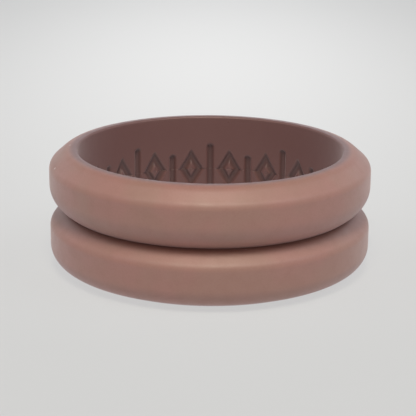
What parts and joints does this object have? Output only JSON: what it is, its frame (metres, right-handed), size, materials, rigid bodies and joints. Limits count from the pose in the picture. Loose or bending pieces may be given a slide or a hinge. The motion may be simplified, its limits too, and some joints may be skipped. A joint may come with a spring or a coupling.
{
  "type": "stacking finger ring",
  "caption": "Soft silicone stacking finger ring: separate bevelled bands that rest face to face, with a deep groove between them and plain debossed trim inside the bore.",
  "frame": {"origin": "centre of the stack's underside, on the finger's axis", "axes": "+Z along the finger's axis, from the lower band to the upper band; +Y towards the debossed trim inside the bore"},
  "size_m": [0.022, 0.022, 0.0081],
  "materials": {
    "silicone": "matte moulded silicone, dusty rose brown"
  },
  "bodies": {
    "lower": {"lower_band": "silicone"},
    "upper": {"upper_band": "silicone"}
  },
  "joints": [
    {"name": "band_lift", "type": "slide", "parent": "lower", "child": "upper", "axis": [0, 0, 1], "range_m": [0, 0.015]}
  ]
}
